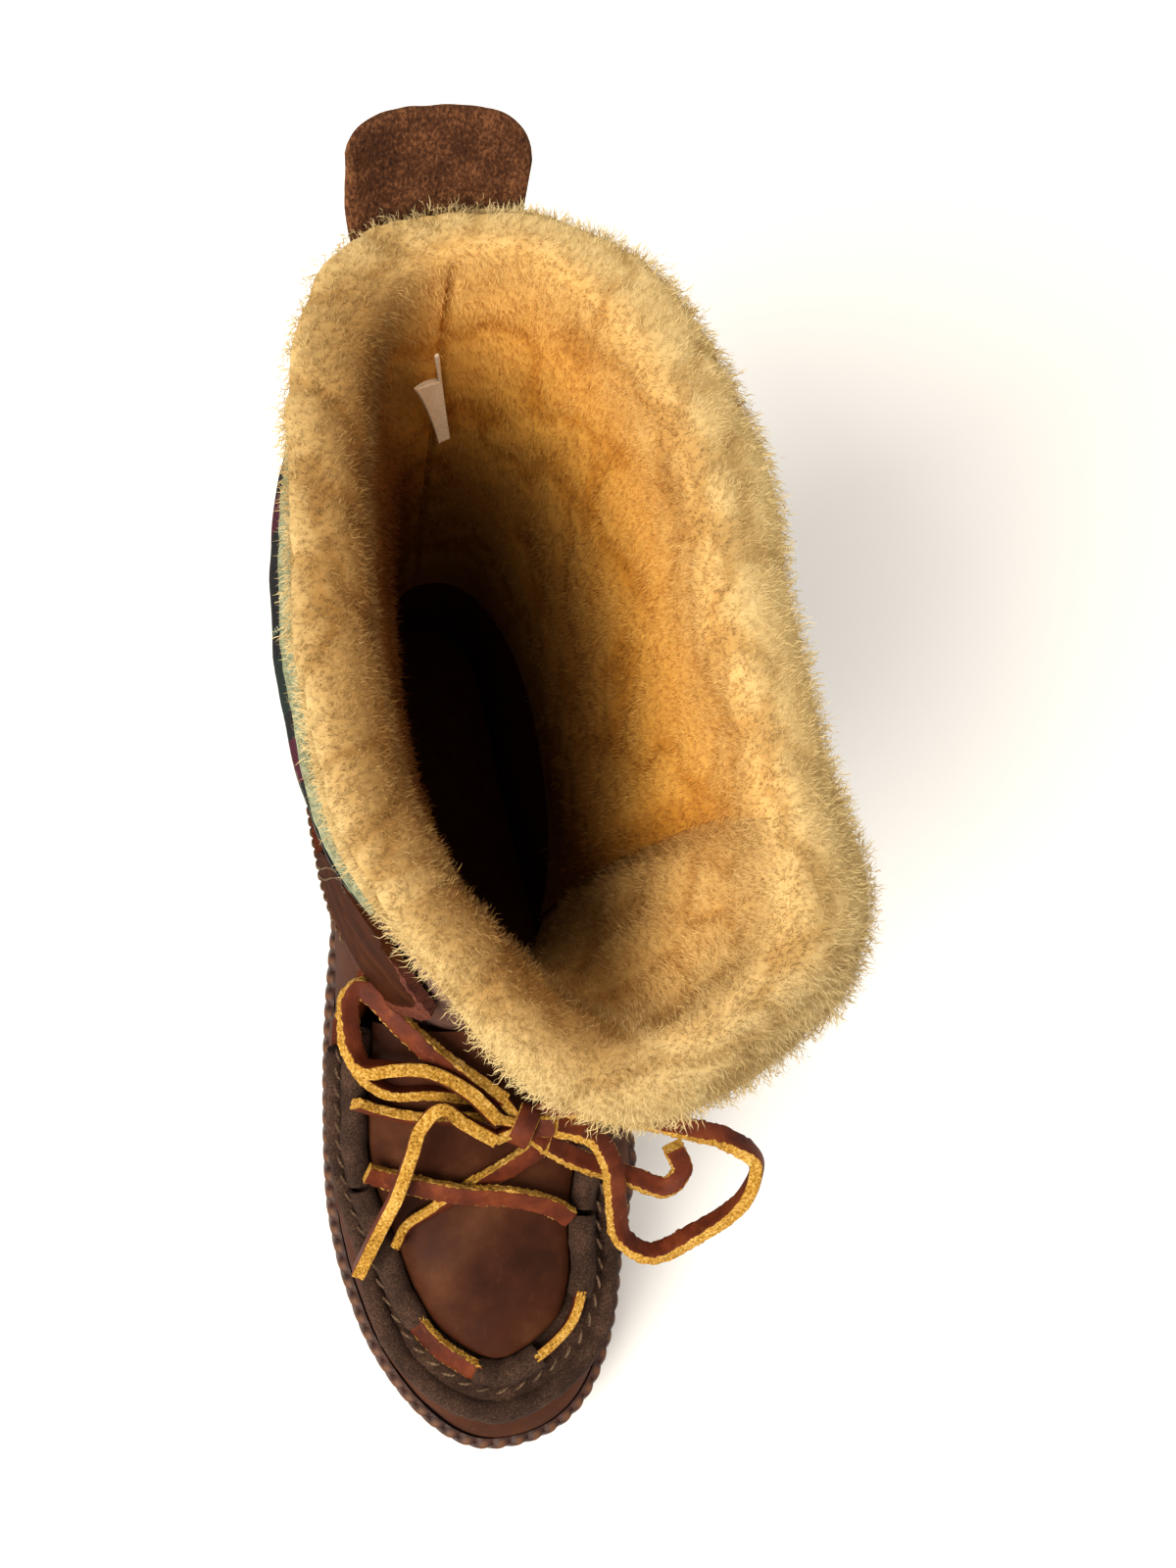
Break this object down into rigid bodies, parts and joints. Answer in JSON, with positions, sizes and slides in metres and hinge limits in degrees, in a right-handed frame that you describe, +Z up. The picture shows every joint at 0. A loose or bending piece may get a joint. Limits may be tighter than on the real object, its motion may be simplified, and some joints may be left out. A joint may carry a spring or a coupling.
{
  "type": "sheepskin-lined lace-up boot",
  "caption": "Ankle boot with a moccasin toe, rawhide lace tied in a bow, wool shaft and a shearling lining that rolls over the collar; left foot.",
  "frame": {"origin": "middle of the flat under the heel, on the floor plane", "axes": "+Z up, -Y along the foot towards the toe, +X towards the outer side of the foot"},
  "size_m": [0.1281, 0.301, 0.2678],
  "materials": {
    "leather": "oiled full-grain leather",
    "apron_leather": "darker oiled full-grain leather",
    "suede": "grey-brown napped suede",
    "tab_suede": "brown napped suede",
    "shearling": "golden sheepskin pile",
    "wool": "dark checked wool",
    "wool_edge": "pale green cut wool edge",
    "rawhide": "rawhide, rust on one face and yellow on the other",
    "label_tape": "plain cream tape",
    "rim_rubber": "dark reddish brown, roped",
    "sole_rubber": "matt tan-olive crepe"
  },
  "bodies": {
    "root": {"outsole": "sole_rubber", "midsole": "rim_rubber", "insole": "shearling", "upper": "leather", "apron": "apron_leather", "moc_roll": "suede", "casing_medial": "suede", "casing_toe": "suede", "casing_lateral": "suede", "shaft": "wool", "collar_edge": "wool_edge", "tongue": "apron_leather", "shaft_fleece": "shearling", "tongue_fleece": "shearling", "eyestay_medial": "leather", "eyestay_lateral": "leather", "pull_tab": "tab_suede", "label": "label_tape", "lace_cross_low": "rawhide", "lace_cross_high": "rawhide", "lace_tie_medial": "rawhide", "lace_tie_second": "rawhide", "lace_tie_lateral": "rawhide", "lace_toe_medial": "rawhide", "lace_toe_lateral": "rawhide", "lace_knot": "rawhide", "lace_loop_medial": "rawhide", "lace_loop_lateral": "rawhide", "lace_end_medial": "rawhide", "lace_end_lateral": "rawhide"}
  },
  "joints": []
}
